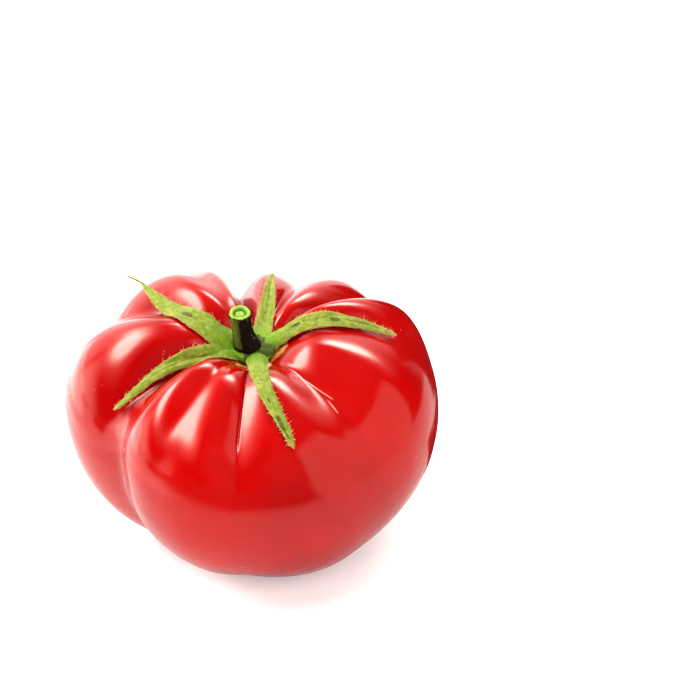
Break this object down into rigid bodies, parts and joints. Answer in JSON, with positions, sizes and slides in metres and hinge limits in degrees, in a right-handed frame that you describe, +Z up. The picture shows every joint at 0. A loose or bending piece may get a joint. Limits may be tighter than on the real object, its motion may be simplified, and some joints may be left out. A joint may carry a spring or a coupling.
{
  "type": "heirloom tomato",
  "caption": "Whole ribbed heirloom tomato with deep uneven lobes, a green calyx of long narrow sepals and a short cut stem, resting on its base.",
  "frame": {"origin": "centre of the flat spot that the fruit rests on", "axes": "+Z up from the resting surface, +Y away from the side that the stem leans to, +X to the right of that side"},
  "size_m": [0.0943, 0.0888, 0.0698],
  "materials": {
    "skin": "smooth waxy skin, glossy with soft broad highlights, with minute pale specks",
    "sepal": "matte leaf, downy with fine pale hairs, with darker patches and dry tan tips",
    "stem": "matte hairy green stem with a fresh bright green cut end"
  },
  "bodies": {
    "root": {"fruit": "skin", "calyx": "sepal", "stem": "stem"}
  },
  "joints": []
}
